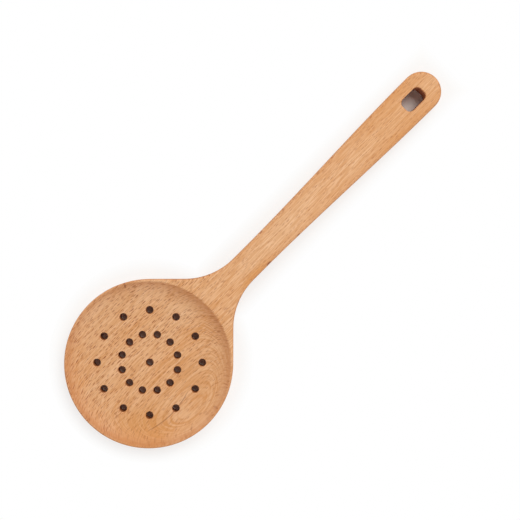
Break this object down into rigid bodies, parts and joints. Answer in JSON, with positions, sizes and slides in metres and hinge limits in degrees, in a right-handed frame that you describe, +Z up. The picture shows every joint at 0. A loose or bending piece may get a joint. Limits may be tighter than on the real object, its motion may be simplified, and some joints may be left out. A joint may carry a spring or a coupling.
{
  "type": "wooden skimmer",
  "caption": "One-piece beech skimmer: a round shallow dish drilled with drain holes, a flared neck and a flat handle that widens to a hanging slot.",
  "frame": {"origin": "under the middle of the length, on the plane that the skimmer lies on", "axes": "+X along the handle towards its hanging end, +Y across the handle, +Z up out of the dish"},
  "size_m": [0.32, 0.11, 0.0145],
  "materials": {
    "beech": "oiled satin"
  },
  "bodies": {
    "root": {"skimmer": "beech"}
  },
  "joints": []
}
